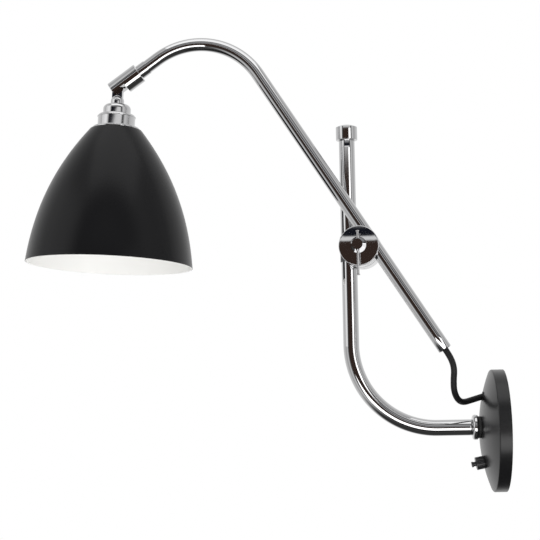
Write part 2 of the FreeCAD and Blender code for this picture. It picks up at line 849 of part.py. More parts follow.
def holder_body():
    skirtOuter = holderRadius - seatGap
    skirtInner = skirtOuter - skirtWall
    bottom = -shadeTopDepth - skirtLength
    body = rod(Vector(0, 0, -flangeDepth), AZ, holderRadius, holderHeight)
    top = [e for e in body.Edges if e.isClosed() and abs(e.BoundBox.ZMin + holderDepth) < 1e-6]
    body = body.makeFillet(holderShoulder, top)
    bead = Part.makeTorus(holderRadius, holderBead, Vector(0, 0, -holderDepth - holderShoulder), AZ)
    flange = rod(Vector(0, 0, -shadeTopDepth), AZ, flangeRadius, flangeThickness)
    flange = disc_edges_rounded(flange, flangeRadius, flangeThickness * 0.4)
    skirt = rod(Vector(0, 0, bottom), AZ, skirtOuter, skirtLength)
    body = body.fuse(bead).fuse(flange).fuse(skirt)
    inside = rod(Vector(0, 0, bottom), AZ, skirtInner, -bottom - holderDepth - holderWall)
    body = body.cut(inside)
    mouth = holderCapRadius - holderWall
    return lamp_frame(body.cut(rod(Vector(0, 0, -flangeDepth), AZ, mouth, holderHeight)))


def shade():
    top = -shadeTopDepth
    mouth = -mouthDepth
    corner = Vector(shadeTopRadius, 0, top)
    lip = Vector(shadeMouthRadius, 0, mouth)
    shoulder = corner + Vector(shoulderOut, 0, -shoulderDown)
    skirt = lip + Vector(-skirtIn, 0, skirtUp)
    outer = bezier([corner, shoulder, skirt, lip])
    inward = Vector(-shoulderDown, 0, -shoulderOut).normalize() * shadeWall
    innerTopR = shadeTopRadius + inward.x - shadeWall * 0.35
    innerCorner = Vector(innerTopR, 0, top - shadeWall)
    innerLip = lip - AX * shadeWall
    inner = bezier([innerCorner, shoulder + inward, skirt - AX * shadeWall, innerLip])
    hole = holderRadius
    outline = [
        line((hole, top), (shadeTopRadius, top)),
        outer,
        line((shadeMouthRadius, mouth), (innerLip.x, mouth)),
        inner,
        line((innerTopR, top - shadeWall), (hole, top - shadeWall)),
        line((hole, top - shadeWall), (hole, top)),
    ]
    shell = turned(outline)
    corner_edge = [
        e
        for e in shell.Edges
        if e.isClosed() and abs(e.BoundBox.ZMin - top) < 1e-6 and abs(e.BoundBox.XMax - shadeTopRadius) < 1e-6
    ]
    return lamp_frame(shell.makeFillet(shadeWall * 1.5, corner_edge))


def bezier(poles):
    curve = Part.BezierCurve()
    curve.setPoles(poles)
    return curve.toShape()


def shade_ring():
    bottom = -shadeTopDepth - shadeWall - shadeRingHeight
    ring = tube(Vector(0, 0, bottom), AZ, shadeRingRadius, holderRadius - seatGap, shadeRingHeight)
    inside = inside_of_shade()
    return lamp_frame(ring.common(inside))


def inside_of_shade():
    """The room under the shade's shoulder, which trims the ring's upper edge."""
    top = -shadeTopDepth - shadeWall
    slope = shoulderOut / shoulderDown
    depth = shadeRingHeight * 3
    start = shadeTopRadius - shadeWall * 2
    return Part.makeCone(start, start + slope * depth, depth, Vector(0, 0, top), -AZ)


def lamp_socket():
    roof = -socketDepth
    body = rod(Vector(0, 0, roof - socketLength), AZ, socketRadius, socketLength)
    body = body.cut(rod(Vector(0, 0, roof - socketLength), AZ, shellRadius, socketLength - socketRoof))
    for side in (-1, 1):
        wire = Vector(side * contactRadius * 1.6, 0, roof - socketRoof)
        body = body.cut(rod(wire, AZ, leadRadius + runningFit, socketRoof))
    return lamp_frame(body)


def screw_shell():
    top = -socketDepth - socketRoof
    return lamp_frame(tube(Vector(0, 0, top), -AZ, shellRadius, shellRadius - shellWall, shellLength))


def centre_contact():
    top = -socketDepth - socketRoof
    return lamp_frame(rod(Vector(0, 0, top - contactHeight), AZ, contactRadius, contactHeight))


def bulb_top():
    return -socketDepth - socketRoof - contactHeight


def bulb_base():
    top = bulb_top()
    tip = rod(Vector(0, 0, top - 1), AZ, contactRadius * 0.9, 1)
    cone = Part.makeCone(contactRadius, bulbBaseRadius, 3.2, Vector(0, 0, top - 0.8), -AZ)
    shell = rod(Vector(0, 0, top - bulbBaseLength), AZ, bulbBaseRadius, bulbBaseLength - 4)
    base = tip.fuse(cone).fuse(shell)
    return lamp_frame(base.cut(rod(Vector(0, 0, top - bulbBaseLength), AZ, bulbCollarRadius, 2 * bulbNeckInBase)))


def bulb_glass():
    top = bulb_top()
    bottom = top - bulbLength
    centre = bottom + bulbRadius
    neckTop = top - bulbBaseLength + bulbNeckInBase
    return lamp_frame(turned(glass_outline(bulbRadius, bulbCollarRadius, centre, bottom, neckTop, bulbGlassWall)))


def glass_outline(ball, neck, centre, bottom, neckTop, wall):
    """Neck, tangent flare and ball, outside and inside."""
    edges = []
    ends = []
    for inset in (0.0, wall):
        r = ball - inset
        n = neck - inset
        join = math.sqrt(r * r - n * n) * 0.55
        joinR = math.sqrt(r * r - join * join)
        a = Vector(0, 0, centre - r)
        b = Vector(r, 0, centre)
        c = Vector(joinR, 0, centre + join)
        mid = Vector(r * math.cos(math.radians(45)), 0, centre - r * math.sin(math.radians(45)))
        up = math.atan2(join, joinR) / 2
        mid2 = Vector(r * math.cos(up), 0, centre + r * math.sin(up))
        tangent = Vector(-join, 0, joinR).normalize()
        d = Vector(n, 0, neckTop - bulbNeckInBase)
        reach = (d - c).Length / 2
        flare = bezier([c, c + tangent * reach, d - AZ * reach, d])
        edges += [Part.Arc(a, mid, b).toShape(), Part.Arc(b, mid2, c).toShape(), flare]
        edges.append(Part.LineSegment(d, Vector(n, 0, neckTop)).toShape())
        ends.append((a, Vector(n, 0, neckTop)))
    edges.append(Part.LineSegment(ends[0][0], ends[1][0]).toShape())
    edges.append(Part.LineSegment(ends[0][1], ends[1][1]).toShape())
    return edges


# ---- free flex -----------------------------------------------------------------------------
def row_point(local):
    """A point of the arm's own frame, in the row's."""
    turn = math.radians(armSwivel)
    x = uprightX + local.x * math.cos(turn) + local.y * math.sin(turn)
    return Vector(x, -local.x * math.sin(turn) + local.y * math.cos(turn), local.z)


def row_direction(local):
    return row_point(local) - row_point(ORIGIN)


def flex_cord():
    mouth = row_point(armMouth)
    points = [
        mouth,
        mouth - row_direction(armUp) * cordFirstRun,
        Vector(-48.2, -33.6, 57.3),
        Vector(-48.9, -30.2, 47.4),
        Vector(-48.5, -26.5, 36.9),
        Vector(-44.5, -19.4, 29.0),
        Vector(-38.6, -10.1, 26.5),
        Vector(-29.7, -3.2, 28.9),
        Vector(grommet_out_x(), 0, flexEntryZ),
    ]
    return route_solid("flex_cord", points, flexRadius)


def build():
    makers = [
        wall_plate, back_disc, stub_bridge, foot_screws, plate_nipple, lock_washer, lock_nut,
        spacer_sleeve, collar_gasket, stub_collar, plate_grommet, terminal_block, terminal_screws,
        plate_flex, switch_nut, switch_body, switch_plunger, switch_leads, upright_tube, upright_cap,
        clamp_liner, rear_block, front_block, friction_washer, clamp_screw, tommy_bar, bar_ends,
        arm_tube, arm_flex, arm_bush, knuckle_collar, knuckle_sleeve, pivot_pin, pivot_stem,
        holder_cap, holder_body, shade, shade_ring, lamp_socket, screw_shell, centre_contact,
        bulb_base, bulb_glass, flex_cord,
    ]
    for make in makers:
        save(make.__name__, make())


build()
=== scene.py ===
import json
import math

import bpy
import numpy as np
from mathutils import Matrix, Vector

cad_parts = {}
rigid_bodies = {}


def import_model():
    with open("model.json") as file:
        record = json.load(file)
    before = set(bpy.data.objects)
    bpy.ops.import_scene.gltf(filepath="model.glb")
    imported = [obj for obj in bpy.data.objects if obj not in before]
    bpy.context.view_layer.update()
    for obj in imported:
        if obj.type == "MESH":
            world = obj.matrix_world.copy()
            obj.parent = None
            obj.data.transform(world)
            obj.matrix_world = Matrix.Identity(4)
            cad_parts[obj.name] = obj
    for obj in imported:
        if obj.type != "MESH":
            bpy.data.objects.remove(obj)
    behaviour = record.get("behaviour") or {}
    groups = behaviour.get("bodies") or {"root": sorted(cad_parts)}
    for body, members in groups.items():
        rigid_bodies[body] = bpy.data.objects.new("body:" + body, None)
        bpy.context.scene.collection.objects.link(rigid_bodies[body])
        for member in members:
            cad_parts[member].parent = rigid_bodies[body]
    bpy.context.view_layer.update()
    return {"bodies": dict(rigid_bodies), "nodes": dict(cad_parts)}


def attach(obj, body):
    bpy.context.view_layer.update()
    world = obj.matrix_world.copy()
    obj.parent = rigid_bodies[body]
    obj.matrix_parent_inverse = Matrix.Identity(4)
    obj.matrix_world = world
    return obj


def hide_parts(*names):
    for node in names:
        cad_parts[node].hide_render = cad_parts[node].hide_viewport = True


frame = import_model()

# Metres, in the part's frame: the wall is the plane X = 0, the room lies towards -X, +Z is up.
print("frame loaded", len(frame["nodes"]), "nodes")

nodes = frame["nodes"]
X = np.array([1.0, 0.0, 0.0])
Y = np.array([0.0, 1.0, 0.0])
Z = np.array([0.0, 0.0, 1.0])

# Found from the photograph's outlines: angles in degrees, lens and sensor in millimetres.
cameraView = {
    "place": (-0.1889, -1.4144, 0.0097),
    "yaw": 1.113,
    "pitch": 5.863,
    "roll": 0.991,
    "lens": 100.0,
    "sensor": 36.0,
    "near": 0.01,
}


def addCamera(s):
    turn = (
        Matrix.Rotation(math.radians(s["yaw"]), 3, "Z")
        @ Matrix.Rotation(math.radians(s["pitch"]), 3, "X")
        @ Matrix.Rotation(math.radians(s["roll"]), 3, "Y")
    )
    right, forward, up = turn.col[0], turn.col[1], turn.col[2]
    axes = Matrix((right, up, -forward)).transposed()
    data = bpy.data.cameras.new("camera")
    data.lens = s["lens"]
    data.sensor_width = s["sensor"]
    data.clip_start = s["near"]
    camera = bpy.data.objects.new("camera", data)
    camera.matrix_world = Matrix.Translation(s["place"]) @ axes.to_4x4()
    bpy.context.scene.collection.objects.link(camera)
    bpy.context.scene.camera = camera


addCamera(cameraView)
print("camera placed")

# Places and sizes that the part's own drawing fixes, in metres and degrees.
plate = {"radius": 0.057, "rim": 0.0114, "rise": 0.0112}
collar = {
    "radius": 0.0118,
    "length": 0.0056,
    "round": 0.0024,
    "bore": 0.0051,
    "gasket": 0.0016,
    "steps": 12,
}
upright = {
    "x": -0.141,
    "stubZ": 0.0034,
    "bend": 0.079,
    "top": 0.289,
    "radius": 0.0075,
    "wall": 0.0015,
    "steps": (12, 96),
}
clamp = {"swivel": 8.0, "z": 0.1732, "offset": 0.012, "armPlane": -0.02115}
arm = {
    "rise": 57.45,
    "lower": 0.1237,
    "upper": 0.1926,
    "crook": 0.0696,
    "fall": 34.2,
    "end": 0.0125,
    "radius": 0.00635,
    "wall": 0.0012,
    "ring": 0.0092,
    "pivot": 0.0261,
    "gap": 0.001,
    "steps": (24, 128, 6),
}
head = {"tilt": 2.95, "swivel": 1.7}

# The dome is part of a ball, whose radius follows from the rim's radius and the rise.
domeSphere = (plate["radius"] ** 2 + plate["rise"] ** 2) / (2 * plate["rise"])
domeCentreX = domeSphere - plate["rim"] - plate["rise"]


def domeX(distance):
    # the dome's face at a distance from its axis
    return domeCentreX - math.sqrt(domeSphere**2 - distance**2)


collarFront = domeX(upright["stubZ"]) - collar["gasket"] - collar["length"]
swivel = math.radians(clamp["swivel"])
along = np.array([math.cos(swivel), -math.sin(swivel), 0.0])
deeper = np.array([math.sin(swivel), math.cos(swivel), 0.0])


def armPoint(flat, depth=clamp["armPlane"]):
    # the frame's point of a flat point (along, up) at a depth of the arm's own plane
    return X * upright["x"] + along * flat[0] + deeper * depth + Z * flat[1]


def armAxis(flat):
    return along * flat[0] + Z * flat[1]


rise = math.radians(arm["rise"])
fall = math.radians(arm["fall"])
armUp = np.array([-math.cos(rise), math.sin(rise)])
armNormal = np.array([math.sin(rise), math.cos(rise)])
endDown = np.array([-math.cos(fall), -math.sin(fall)])
endNormal = np.array([-math.sin(fall), math.cos(fall)])
armFoot = np.array([clamp["offset"], clamp["z"]]) + armNormal * clamp["offset"]
armMouth = armFoot - armUp * arm["lower"]
crookStart = armFoot + armUp * arm["upper"]
crookCentre = crookStart - armNormal * arm["crook"]
crookEnd = crookCentre + endNormal * arm["crook"]
ringStart = crookEnd + endDown * arm["end"]
pivot = Vector(armPoint(ringStart + endDown * (arm["ring"] + arm["pivot"])))


def frameMatrix(origin, axis, side):
    # local Z along axis, local X as near to side as it can be
    z = Vector(axis).normalized()
    x = Vector(side) - z * Vector(side).dot(z)
    x.normalize()
    y = z.cross(x)
    m = Matrix((x, y, z)).transposed().to_4x4()
    m.translation = Vector(origin)
    return m


tilt = math.radians(head["tilt"])
headDown = armAxis(np.array([-math.sin(tilt), -math.cos(tilt)]))
headTurn = Matrix.Rotation(math.radians(head["swivel"]), 4, Vector(armAxis(endDown)))
headFrame = (
    Matrix.Translation(pivot)
    @ headTurn
    @ Matrix.Translation(-pivot)
    @ frameMatrix(pivot, -headDown, along)
)

# A pole or a closed end is a ring as small as this, in metres.
poleRadius = 0.00001
# Edges sharper than this stay sharp in the shading, in degrees.
sharp = {"tube": 50, "cap": 40, "round": 60, "turned": 28}


def gridMesh(name, grid):
    # a surface through a grid of points (rows, columns, 3), closed along its columns
    rows, cols = grid.shape[:2]
    i, j = np.meshgrid(np.arange(rows - 1), np.arange(cols), indexing="ij")
    k = (j + 1) % cols
    faces = np.stack([i * cols + j, i * cols + k, (i + 1) * cols + k, (i + 1) * cols + j], -1)
    mesh = bpy.data.meshes.new(name)
    mesh.from_pydata(grid.reshape(-1, 3).tolist(), [], faces.reshape(-1, 4).tolist())
    obj = bpy.data.objects.new(name, mesh)
    bpy.context.scene.collection.objects.link(obj)
    return obj


def dress(obj, material, body, slot, angle, *stoodFor):
    mesh = obj.data
    mesh.polygons.foreach_set("use_smooth", np.ones(len(mesh.polygons), bool))
    mesh.set_sharp_from_angle(angle=math.radians(angle))
    mesh.materials.append(materials[material])
    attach(obj, body)
    if stoodFor:
        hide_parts(*stoodFor)
    return obj


def roundedProfile(points, radii, steps=6):
    # (radius, height) corners, each rounded by an arc of its own radius that touches both its sides
    out = [np.array(points[0], float)]
    for a, b, c, r in zip(points, points[1:], points[2:], radii):
        a, b, c = (np.array(p, float) for p in (a, b, c))
        back, ahead = a - b, c - b
        la, lc = np.linalg.norm(back), np.linalg.norm(ahead)
        back, ahead = back / la, ahead / lc
        half = math.acos(float(np.clip(back @ ahead, -1, 1))) / 2
        reach = min(r / math.tan(half), 0.49 * la, 0.49 * lc)
        r = reach * math.tan(half)
        middle = b + (back + ahead) / np.linalg.norm(back + ahead) * (r / math.sin(half))
        start, end = b + back * reach - middle, b + ahead * reach - middle
        sweep = math.atan2(start[0] * end[1] - start[1] * end[0], float(start @ end))
        turn = sweep * np.linspace(0, 1, steps + 1)
        across = np.array([-start[1], start[0]])
        out.extend(middle + np.outer(np.cos(turn), start) + np.outer(np.sin(turn), across))
    out.append(np.array(points[-1], float))
    return np.array(out)


def lathe(name, profile, place, segments=96):
    # point(i, a) = (r_i cos a, r_i sin a, h_i), from bottom to top, so that the faces point outwards
    a = np.linspace(0, 2 * math.pi, segments, endpoint=False)
    r, h = profile[:, 0], profile[:, 1]
    parts = [np.outer(r, np.cos(a)), np.outer(r, np.sin(a)), np.outer(h, np.ones_like(a))]
    obj = gridMesh(name, np.stack(parts, -1))
    obj.data.transform(place)
    return obj


def unitTangents(line):
    way = np.gradient(line, axis=0)
    way /= np.linalg.norm(way, axis=1)[:, None]
    return way


def ringUnits(side, up, count):
    # unit(i, a) = side_i cos a + up_i sin a
    a = np.linspace(0, 2 * math.pi, count, endpoint=False)
    return side[:, None, :] * np.cos(a)[None, :, None] + up[:, None, :] * np.sin(a)[None, :, None]


# How far the bore shows inwards, in metres, and the share of the wall that a rim's rounding takes.
tubeEnds = {"segments": 64, "reach": 0.02, "lip": 0.2}


def sweptTube(name, centres, binormal, outer, inner, s):
    # ring(i, a) = centre_i + outer * unit(i, a), with both ends turned in to show a length of bore
    tangents = unitTangents(centres)
    unit = ringUnits(np.cross(binormal, tangents), binormal[None, :], s["segments"])
    walls = centres[:, None, :] + unit * outer
    first = centres[0] + unit[0] * inner
    last = centres[-1] + unit[-1] * inner
    lip = (outer - inner) * s["lip"]
    startLip = centres[0] + unit[0] * (outer - lip)
    endLip = centres[-1] + unit[-1] * (outer - lip)
    walls[0] += tangents[0] * lip
    walls[-1] -= tangents[-1] * lip
    rings = [[first + tangents[0] * s["reach"]], [first], [startLip], walls]
    rings += [[endLip], [last], [last - tangents[-1] * s["reach"]]]
    return gridMesh(name, np.concatenate(rings)[:, ::-1])


def flatPath(pieces):
    # the pieces of a path joined, without points that repeat
    points = np.concatenate(pieces)
    keep = np.r_[True, np.linalg.norm(np.diff(points, axis=0), axis=1) > 1e-6]
    return points[keep]


def arcPoints(centre, a, b, count):
    # centre + r (u cos t + v sin t), u towards a and v square to it on b's side
    radius = np.linalg.norm(a - centre)
    u = (a - centre) / radius
    v = (b - centre) - u * ((b - centre) @ u)
    v /= np.linalg.norm(v)
    total = math.acos(float(np.clip((b - centre) @ u / radius, -1, 1)))
    t = np.linspace(0, total, count)
    return centre + radius * (np.outer(np.cos(t), u) + np.outer(np.sin(t), v))


def bezierPoints(poles, count):
    # b(t) = (1-t)^3 a + 3 t (1-t)^2 b + 3 t^2 (1-t) c + t^3 d
    t = np.linspace(0, 1, count)[:, None]
    a, b, c, d = (np.array(p, float) for p in poles)
    return (1 - t) ** 3 * a + 3 * t * (1 - t) ** 2 * b + 3 * t**2 * (1 - t) * c + t**3 * d


grainSettings = {
    "fineDetail": 3.0,
    "broadScale": 18.0,
    "broadDetail": 4.0,
    "fineShare": 0.6,
    "span": (0.3, 0.7),
}


def grainGroup(s):
    # fine unevenness of a finish: a roughness between two values, a bump height and a colour mask
    group = bpy.data.node_groups.new("finishGrain", "ShaderNodeTree")
    face = group.interface
    for name, value in (("Scale", 200.0), ("Low", 0.1), ("High", 0.2)):
        face.new_socket(name, in_out="INPUT", socket_type="NodeSocketFloat").default_value = value
    for name in ("Roughness", "Height", "Mask"):
        face.new_socket(name, in_out="OUTPUT", socket_type="NodeSocketFloat")
    n, link = group.nodes, group.links
    inside = n.new("NodeGroupInput")
    outside = n.new("NodeGroupOutput")
    place = n.new("ShaderNodeTexCoord")
    fine = n.new("ShaderNodeTexNoise")
    fine.inputs["Detail"].default_value = s["fineDetail"]
    broad = n.new("ShaderNodeTexNoise")
    broad.inputs["Scale"].default_value = s["broadScale"]
    broad.inputs["Detail"].default_value = s["broadDetail"]
    mixed = n.new("ShaderNodeMath")
    mixed.operation = "MULTIPLY_ADD"
    mixed.inputs[1].default_value = s["fineShare"]
    half = n.new("ShaderNodeMath")
    half.operation = "MULTIPLY"
    half.inputs[1].default_value = 1 - s["fineShare"]
    spread = n.new("ShaderNodeMapRange")
    spread.inputs["From Min"].default_value = s["span"][0]
    spread.inputs["From Max"].default_value = s["span"][1]
    link.new(place.outputs["Object"], fine.inputs["Vector"])
    link.new(inside.outputs["Scale"], fine.inputs["Scale"])
    link.new(place.outputs["Object"], broad.inputs["Vector"])
    link.new(broad.outputs["Fac"], half.inputs[0])
    link.new(fine.outputs["Fac"], mixed.inputs[0])
    link.new(half.outputs[0], mixed.inputs[2])
    link.new(mixed.outputs[0], spread.inputs["Value"])
    link.new(inside.outputs["Low"], spread.inputs["To Min"])
    link.new(inside.outputs["High"], spread.inputs["To Max"])
    link.new(spread.outputs["Result"], outside.inputs["Roughness"])
    link.new(fine.outputs["Fac"], outside.inputs["Height"])
    link.new(broad.outputs["Fac"], outside.inputs["Mask"])
    return group


grain = grainGroup(grainSettings)


def finish(name, s):
    material = bpy.data.materials.new(name)
    material.use_nodes = True
    n, link = material.node_tree.nodes, material.node_tree.links
    shader = n["Principled BSDF"]
    shader.inputs["Metallic"].default_value = s.get("metallic", 0.0)
    shader.inputs["Coat Weight"].default_value = s.get("coat", 0.0)
    shader.inputs["Specular IOR Level"].default_value = s.get("specular", 0.5)
    uneven = n.new("ShaderNodeGroup")
    uneven.node_tree = grain
    uneven.inputs["Scale"].default_value = s["scale"]
    uneven.inputs["Low"].default_value = s["rough"][0]
    uneven.inputs["High"].default_value = s["rough"][1]
    tint = n.new("ShaderNodeMix")
    tint.data_type = "RGBA"
    dim = s.get("dim", 0.92)
    tint.inputs[6].default_value = (*(c * dim for c in s["color"]), 1.0)
    tint.inputs[7].default_value = (*s["color"], 1.0)
    bump = n.new("ShaderNodeBump")
    bump.inputs["Strength"].default_value = s.get("bump", 0.05)
    bump.inputs["Distance"].default_value = s.get("depth", 0.00005)
    link.new(uneven.outputs["Mask"], tint.inputs[0])
    link.new(tint.outputs[2], shader.inputs["Base Color"])
    link.new(uneven.outputs["Roughness"], shader.inputs["Roughness"])
    link.new(uneven.outputs["Height"], bump.inputs["Height"])
    link.new(bump.outputs["Normal"], shader.inputs["Normal"])
    return material


materialSettings = {
    "polishedChrome": {
        "color": (0.57, 0.57, 0.575), "metallic": 1.0, "rough": (0.03, 0.07), "scale": 900.0,
        "bump": 0.03, "depth": 0.00001, "dim": 0.97,
    },
    "satinBlack": {
        "color": (0.0045, 0.0045, 0.0052), "rough": (0.26, 0.32), "scale": 1600.0,
        "bump": 0.12, "depth": 0.00003, "specular": 0.18,
    },
    "plateBlack": {
        "color": (0.006, 0.006, 0.0065), "rough": (0.27, 0.33), "scale": 1800.0,
        "bump": 0.18, "depth": 0.00004, "specular": 0.4,
    },
    "whiteEnamel": {
        "color": (0.93, 0.925, 0.905), "rough": (0.30, 0.38), "scale": 1200.0,
        "bump": 0.05, "dim": 0.98,
    },
    "zincSteel": {
        "color": (0.55, 0.56, 0.57), "metallic": 1.0, "rough": (0.28, 0.42), "scale": 300.0,
        "bump": 0.08,
    },
    "plainBrass": {
        "color": (0.70, 0.50, 0.22), "metallic": 1.0, "rough": (0.20, 0.32), "scale": 500.0,
    },
    "blackRubber": {
        "color": (0.016, 0.016, 0.016), "rough": (0.55, 0.7), "scale": 1500.0, "bump": 0.15,
    },
    "flexSheath": {
        "color": (0.005, 0.005, 0.0055), "rough": (0.45, 0.6), "scale": 2200.0,
        "bump": 0.2, "specular": 0.3,
    },
    "blackMoulding": {
        "color": (0.014, 0.014, 0.015), "rough": (0.25, 0.38), "scale": 1400.0, "bump": 0.08,
    },
    "darkNylon": {
        "color": (0.05, 0.05, 0.052), "rough": (0.4, 0.5), "scale": 900.0, "bump": 0.06,
    },
    "whiteMoulding": {
        "color": (0.75, 0.75, 0.72), "rough": (0.35, 0.45), "scale": 900.0, "bump": 0.06,
    },
    "porcelain": {
        "color": (0.82, 0.82, 0.78), "rough": (0.12, 0.2), "scale": 400.0, "bump": 0.03,
    },
    "leadInsulation": {
        "color": (0.20, 0.09, 0.045), "rough": (0.4, 0.5), "scale": 900.0, "bump": 0.06,
    },
    "bulbCap": {
        "color": (0.70, 0.70, 0.71), "metallic": 1.0, "rough": (0.25, 0.38), "scale": 300.0,
        "bump": 0.08,
    },
    "opalGlass": {
        "color": (0.90, 0.90, 0.88), "rough": (0.12, 0.2), "scale": 400.0,
        "bump": 0.02, "coat": 0.4,
    },
}
materials = {name: finish(name, s) for name, s in materialSettings.items()}
print("materials made", len(materials))

cadFinish = {
    "blackRubber": ("collar_gasket", "plate_grommet", "arm_bush"),
    "zincSteel": (
        "back_disc", "stub_bridge", "foot_screws", "plate_nipple", "lock_washer", "lock_nut",
        "spacer_sleeve",
    ),
    "plateBlack": ("wall_plate",),
    "whiteMoulding": ("terminal_block",),
    "plainBrass": ("terminal_screws", "screw_shell", "centre_contact"),
    "flexSheath": ("plate_flex", "arm_flex", "flex_cord"),
    "blackMoulding": ("switch_nut", "switch_body", "switch_plunger", "shade_ring"),
    "leadInsulation": ("switch_leads",),
    "darkNylon": ("clamp_liner", "friction_washer"),
    "satinBlack": ("shade",),
    "porcelain": ("lamp_socket",),
    "bulbCap": ("bulb_base",),
    "opalGlass": ("bulb_glass",),
}
finishOf = {node: name for name, group in cadFinish.items() for node in group}
for name, obj in nodes.items():
    obj.data.materials.clear()
    obj.data.materials.append(materials[finishOf.get(name, "polishedChrome")])
print("CAD finishes set")

# What metal mirrors, by the direction's Y: a dark room on the camera's side, white behind the lamp.
# Straight in front it goes by Z: brown low down, a white strip, dark above it and grey on top.
studio = {
    "diffuse": 0.72,
    "room": (
        (-1.0, 0.035), (-0.8, 0.035), (-0.66, 0.15), (-0.5, 0.88), (-0.1, 0.55), (0.3, 0.8),
        (1.0, 0.95),
    ),
    "front": (
        (0.17, (0.05, 0.032, 0.026)), (0.19, (1.0, 1.0, 1.0)), (0.225, (1.0, 1.0, 1.0)),
        (0.245, (0.012, 0.013, 0.02)), (0.33, (0.012, 0.013, 0.02)), (0.42, (0.5, 0.5, 0.51)),
        (1.0, (0.6, 0.6, 0.6)),
    ),
    "frontEdge": (-0.82, -0.70),
    "below": (-0.80, -0.50, 0.08),
}


def addRamp(n, stops):
    ramp = n.new("ShaderNodeValToRGB")
    bar = ramp.color_ramp
    while len(bar.elements) < len(stops):
        bar.elements.new(0.5)
    for element, (place, value) in zip(bar.elements, stops):
        element.position = (place + 1) / 2
        element.color = (*value, 1.0) if isinstance(value, tuple) else (value, value, value, 1.0)
    return ramp


def halved(n, link, socket):
    # a direction's part, -1 to 1, as a ramp's place, 0 to 1
    node = n.new("ShaderNodeMath")
    node.operation = "MULTIPLY_ADD"
    node.inputs[1].default_value = 0.5
    node.inputs[2].default_value = 0.5
    link.new(socket, node.inputs[0])
    return node.outputs[0]


def addWorld(s):
    world = bpy.data.worlds.new("studio")
    bpy.context.scene.world = world
    world.use_nodes = True
    n, link = world.node_tree.nodes, world.node_tree.links
    n.clear()
    out = n.new("ShaderNodeOutputWorld")
    plain = n.new("ShaderNodeBackground")
    plain.inputs["Color"].default_value = (1.0, 1.0, 1.0, 1.0)
    plain.inputs["Strength"].default_value = s["diffuse"]
    white = n.new("ShaderNodeBackground")
    white.inputs["Color"].default_value = (1.0, 1.0, 1.0, 1.0)
    mirrored = n.new("ShaderNodeBackground")
    path = n.new("ShaderNodeLightPath")
    either = n.new("ShaderNodeMath")
    either.operation = "MAXIMUM"
    seen = n.new("ShaderNodeMixShader")
    glossy = n.new("ShaderNodeMixShader")
    place = n.new("ShaderNodeTexCoord")
    parts = n.new("ShaderNodeSeparateXYZ")
    room = addRamp(n, s["room"])
    front = addRamp(n, s["front"])
    edge = n.new("ShaderNodeMapRange")
    edge.interpolation_type = "SMOOTHSTEP"
    edge.inputs["From Min"].default_value = s["frontEdge"][0]
    edge.inputs["From Max"].default_value = s["frontEdge"][1]
    both = n.new("ShaderNodeMix")
    both.data_type = "RGBA"
    below = n.new("ShaderNodeMapRange")
    below.interpolation_type = "SMOOTHSTEP"
    below.inputs["From Min"].default_value = s["below"][0]
    below.inputs["From Max"].default_value = s["below"][1]
    below.inputs["To Min"].default_value = s["below"][2]
    link.new(place.outputs["Generated"], parts.inputs[0])
    link.new(halved(n, link, parts.outputs["Y"]), room.inputs["Fac"])
    link.new(halved(n, link, parts.outputs["Z"]), front.inputs["Fac"])
    link.new(parts.outputs["Y"], edge.inputs["Value"])
    link.new(edge.outputs["Result"], both.inputs[0])
    link.new(front.outputs["Color"], both.inputs[6])
    link.new(room.outputs["Color"], both.inputs[7])
    link.new(both.outputs[2], mirrored.inputs["Color"])
    link.new(parts.outputs["Z"], below.inputs["Value"])
    link.new(below.outputs["Result"], mirrored.inputs["Strength"])
    link.new(path.outputs["Is Camera Ray"], either.inputs[0])
    link.new(path.outputs["Is Transmission Ray"], either.inputs[1])
    link.new(either.outputs[0], seen.inputs["Fac"])
    link.new(plain.outputs[0], seen.inputs[1])
    link.new(white.outputs[0], seen.inputs[2])
    link.new(path.outputs["Is Glossy Ray"], glossy.inputs["Fac"])
    link.new(seen.outputs[0], glossy.inputs[1])
    link.new(mirrored.outputs[0], glossy.inputs[2])
    link.new(glossy.outputs[0], out.inputs["Surface"])


addWorld(studio)

# Each lamp: its place, the point it faces, its width and height, and its watts.
lamps = {
    "rightSoftbox": ((0.73, -1.43, 0.12), (-0.2, 0.0, 0.17), (0.6, 0.93), 4.2),
    "leftSoftbox": ((-1.6, -0.5, 0.7), (-0.2, 0.0, 0.15), (1.2, 1.2), 2.2),
    "topSoftbox": ((-0.2, -0.3, 1.3), (-0.2, 0.0, 0.1), (1.4, 0.9), 3.4),
    "lowSoftbox": ((-0.15, -0.95, -0.38), (-0.3, 0.0, 0.2), (1.4, 0.5), 6.0),
}


def areaLight(name, place, target, size, power):
    data = bpy.data.lights.new(name, "AREA")
    data.shape = "RECTANGLE"
    data.size, data.size_y = size
    data.energy = power
    light = bpy.data.objects.new(name, data)
    light.location = place
    light.rotation_euler = (Vector(target) - Vector(place)).to_track_quat("-Z", "Y").to_euler()
    bpy.context.scene.collection.objects.link(light)


for name, facts in lamps.items():
    areaLight(name, *facts)

# The floor is mostly plain white to the camera, and its shadow shows in the rest.
floorPlan = {
    "half": 3.0,
    "z": -0.62,
    "color": (0.86, 0.86, 0.86),
    "rough": 0.9,
    "white": 0.93,
}


